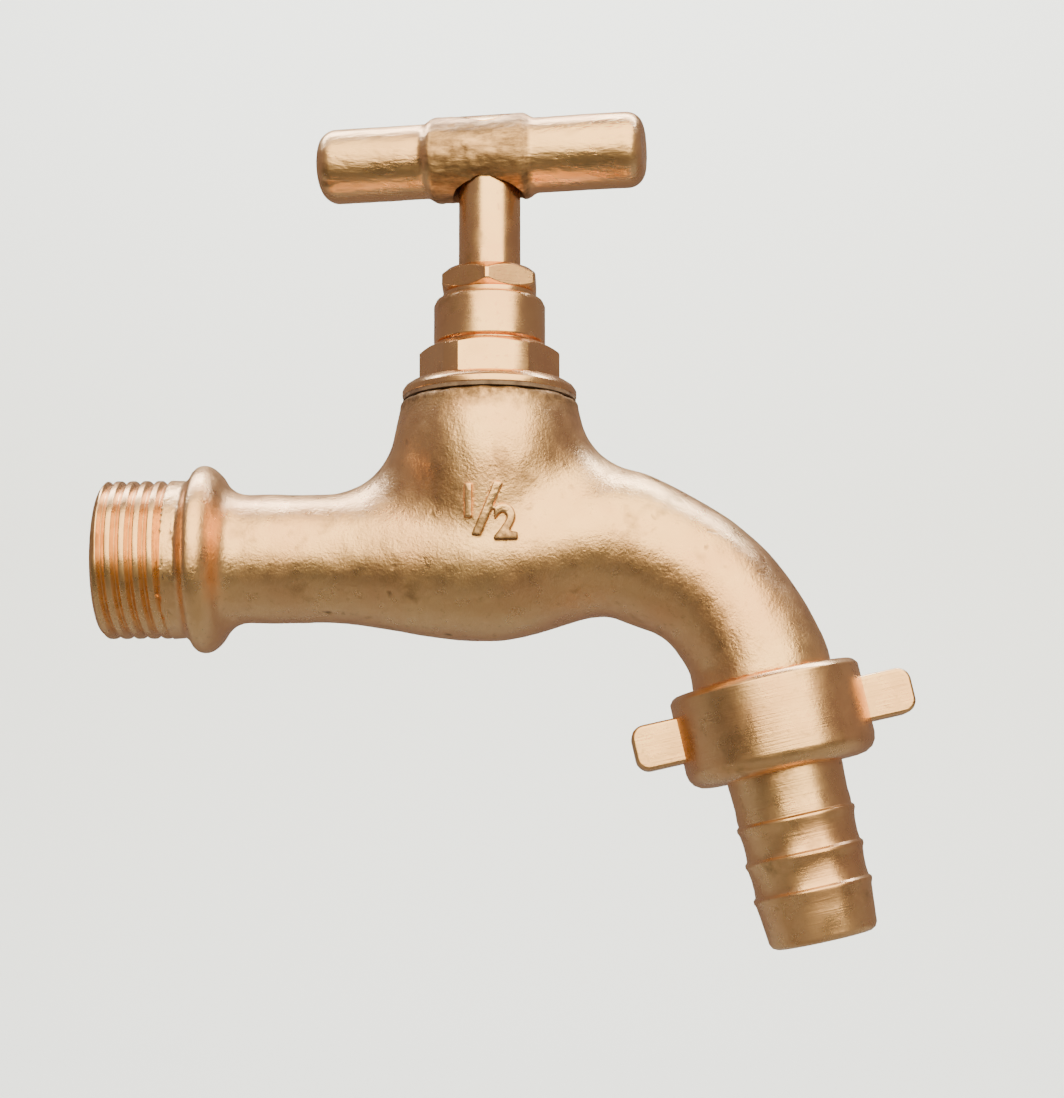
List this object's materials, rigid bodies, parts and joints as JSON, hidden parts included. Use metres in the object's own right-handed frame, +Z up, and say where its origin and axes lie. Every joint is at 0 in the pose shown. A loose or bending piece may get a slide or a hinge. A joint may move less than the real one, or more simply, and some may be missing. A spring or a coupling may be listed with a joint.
{
  "type": "hose bib",
  "caption": "Brass hose bib with a tee handle, screw-down washer valve, downturned spout, winged union nut and barbed hose tail.",
  "frame": {"origin": "on the inlet axis where the inlet thread meets the collar", "axes": "+X along the inlet away from the wall, +Z up along the spindle, +Y towards the back"},
  "size_m": [0.1061, 0.0258, 0.1114],
  "materials": {
    "cast_brass": "sand-cast satin brass",
    "turned_brass": "machined satin brass",
    "fibre": "pressed red fibre",
    "packing": "greased braided packing",
    "rubber": "matt black rubber"
  },
  "bodies": {
    "body": {"tap_body": "cast_brass", "bonnet_washer": "fibre", "bonnet": "turned_brass", "gland_packing": "packing", "gland_follower": "turned_brass", "gland_nut": "turned_brass"},
    "valve": {"jumper": "turned_brass", "seat_washer": "rubber", "jumper_nut": "turned_brass"},
    "spindle_group": {"spindle": "turned_brass", "tee_handle": "cast_brass", "handle_pin": "turned_brass"},
    "union_seal": {"union_washer": "rubber"},
    "nut_group": {"union_nut": "turned_brass"},
    "tail_group": {"hose_tail": "turned_brass"}
  },
  "joints": [
    {"name": "spindle_rise", "type": "slide", "parent": "body", "child": "valve", "axis": [0, 0, 1], "range_m": [0, 0.005]},
    {"name": "handle_turn", "type": "hinge", "parent": "valve", "child": "spindle_group", "pos_m": [0.0403, 0, 0], "axis": [0, 0, 1], "range_deg": [0, 900]},
    {"name": "union_travel", "type": "slide", "parent": "body", "child": "union_seal", "axis": [0.2164, 0, -0.9763], "range_m": [0, 0.00635]},
    {"name": "union_turn", "type": "hinge", "parent": "union_seal", "child": "nut_group", "pos_m": [0.0758, 0, -0.0156], "axis": [0.2164, 0, -0.9763], "range_deg": [0, 1260]},
    {"name": "tail_swivel", "type": "hinge", "parent": "union_seal", "child": "tail_group", "pos_m": [0.0758, 0, -0.0156], "axis": [0.2164, 0, -0.9763], "continuous": true}
  ],
  "couplings": [
    {"joint": "spindle_rise", "follows": "handle_turn", "m_per_rad": 0.00031831},
    {"joint": "union_travel", "follows": "union_turn", "m_per_rad": 0.00028871}
  ]
}
